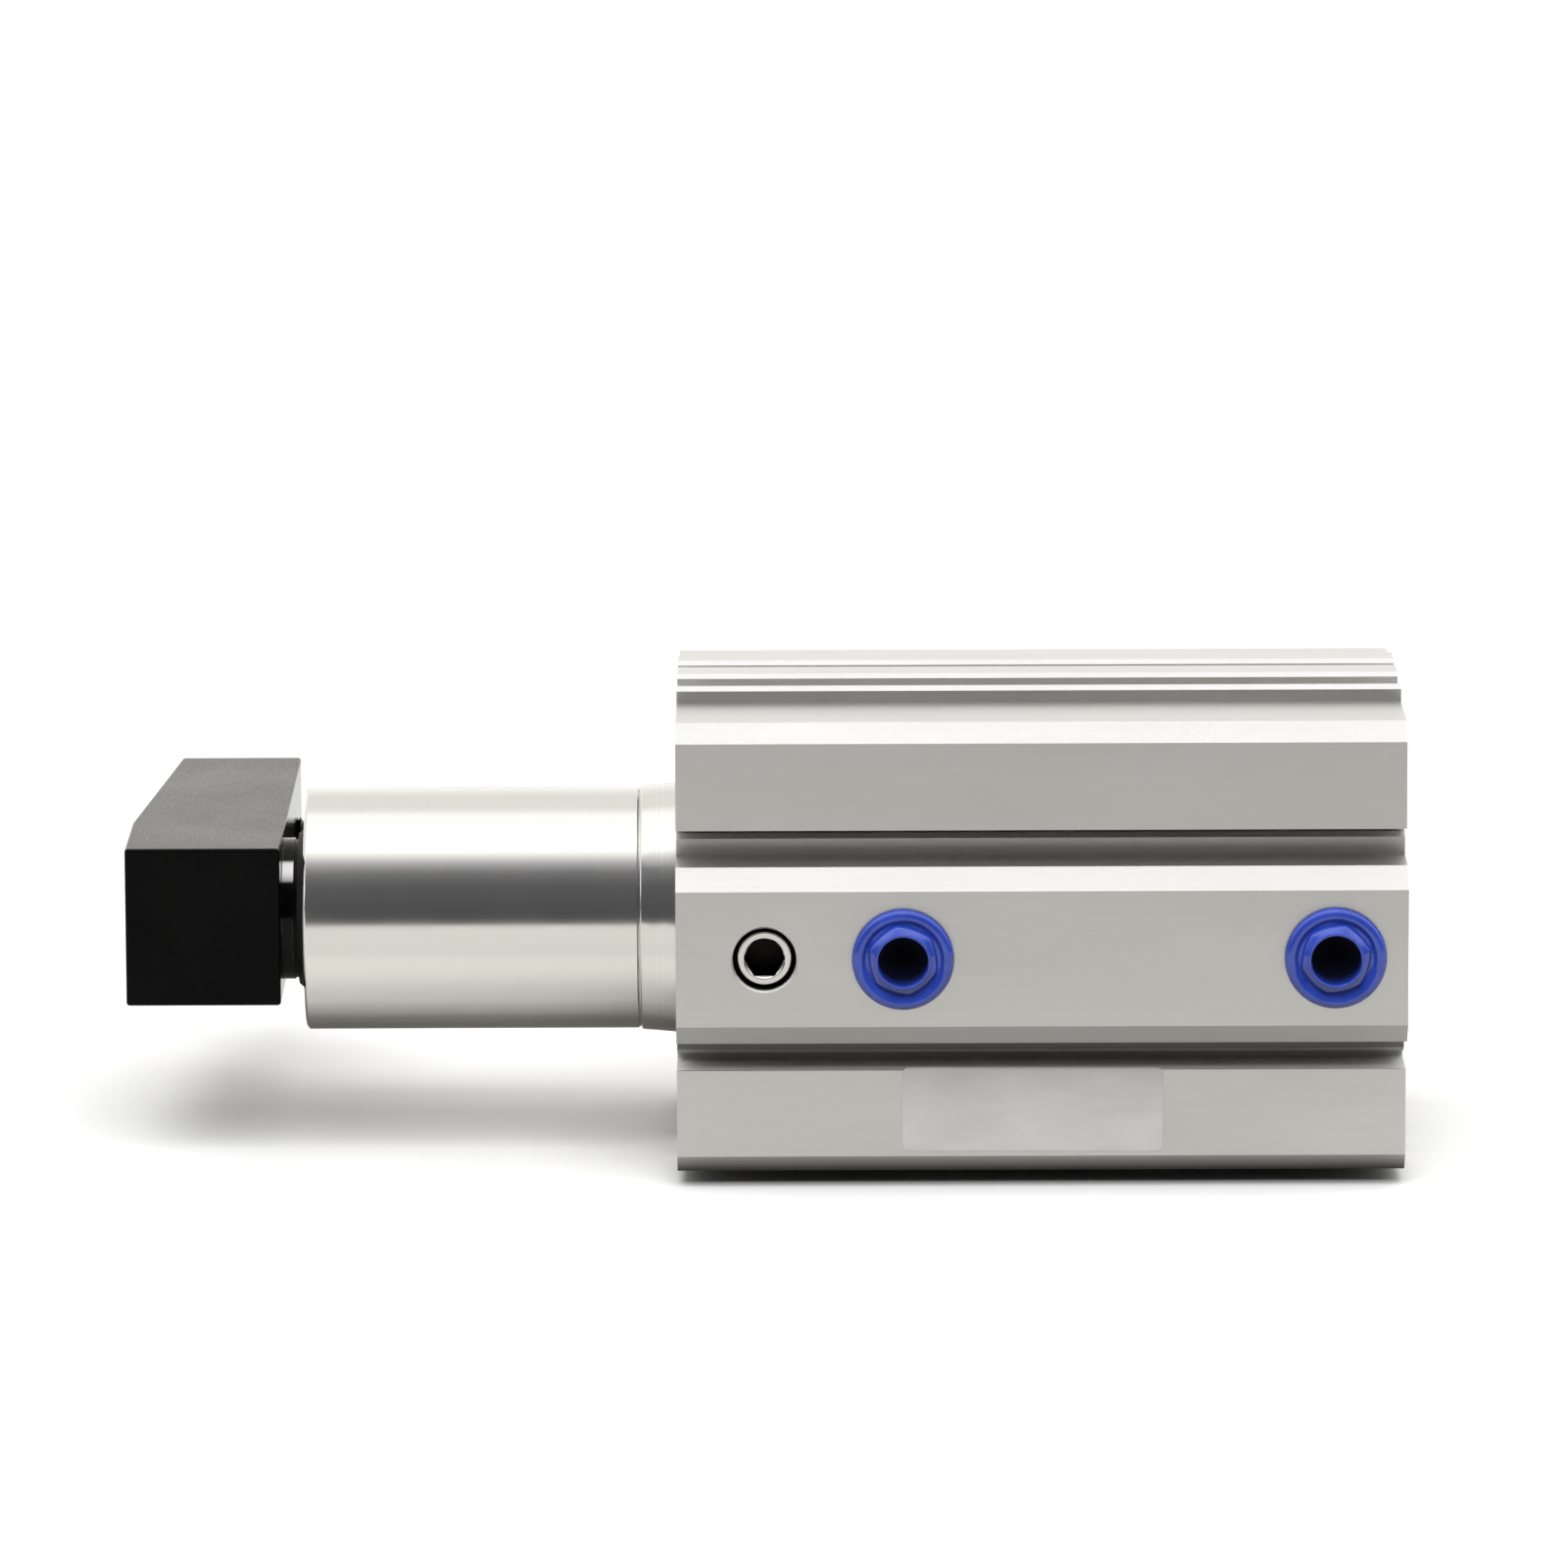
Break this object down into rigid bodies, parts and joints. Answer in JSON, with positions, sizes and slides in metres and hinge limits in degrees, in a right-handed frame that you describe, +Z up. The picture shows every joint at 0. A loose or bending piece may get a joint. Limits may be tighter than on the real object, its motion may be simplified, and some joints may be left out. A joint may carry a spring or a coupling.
{
  "type": "rotary clamp cylinder",
  "caption": "Compact pneumatic swing clamp: square extruded body with port ridge and sensor rails, long round nose, and a black clamp arm that swings as the rod extends.",
  "frame": {"origin": "on the rod axis, in the plane of the body's rod-end face, at the centre of the front bolt pattern", "axes": "+X along the cylinder axis from the rod end to the rear end, -Y out of the port ridge, +Z up as it lies in the picture"},
  "size_m": [0.1465, 0.0794, 0.0556],
  "materials": {
    "body_aluminium": "matt anodised extrusion",
    "turned_aluminium": "fine turned",
    "rod_chrome": "hard chrome, ground",
    "black_arm": "black, satin, steel",
    "black_steel": "black oxide",
    "screw_steel": "zinc plated",
    "spring_steel": "phosphated",
    "seal_rubber": "moulded nitrile",
    "bronze": "sintered bronze",
    "ring_plastic": "acetal",
    "magnet": "ferrite",
    "blue_plastic": "moulded polyethylene"
  },
  "bodies": {
    "cylinder": {"cylinder_body": "body_aluminium", "front_cover": "turned_aluminium", "front_cover_oring": "seal_rubber", "front_snap_ring": "spring_steel", "rod_bush": "bronze", "rod_seal": "seal_rubber", "rod_wiper": "seal_rubber", "guide_screw": "screw_steel", "front_bumper": "seal_rubber", "rear_bumper": "seal_rubber", "back_cover": "turned_aluminium", "back_cover_oring": "seal_rubber", "back_snap_ring": "spring_steel"},
    "piston_rings": {"piston_seal": "seal_rubber", "wear_ring": "ring_plastic"},
    "rod_and_arm": {"piston_rod": "rod_chrome", "piston": "turned_aluminium", "piston_oring": "seal_rubber", "magnet_ring": "magnet", "magnet_retainer": "turned_aluminium", "piston_washer": "screw_steel", "piston_screw": "screw_steel", "clamp_arm": "black_arm", "arm_bolt": "black_steel", "arm_washer": "black_steel", "clamp_screw": "black_steel"},
    "front_plug": {"front_port_plug": "blue_plastic"},
    "rear_plug": {"rear_port_plug": "blue_plastic"}
  },
  "joints": [
    {"name": "rod_stroke", "type": "slide", "parent": "cylinder", "child": "piston_rings", "axis": [-1, 0, 0], "range_m": [0, 0.035]},
    {"name": "arm_swing", "type": "hinge", "parent": "piston_rings", "child": "rod_and_arm", "pos_m": [0, 0, 0], "axis": [1, 0, 0], "range_deg": [0, 90]},
    {"name": "front_plug_pull", "type": "slide", "parent": "cylinder", "child": "front_plug", "axis": [0, -1, 0], "range_m": [0, 0.015]},
    {"name": "rear_plug_pull", "type": "slide", "parent": "cylinder", "child": "rear_plug", "axis": [0, -1, 0], "range_m": [0, 0.015]}
  ],
  "couplings": [
    {"joint": "arm_swing", "follows": "rod_stroke", "rad_per_m": 44.88}
  ]
}
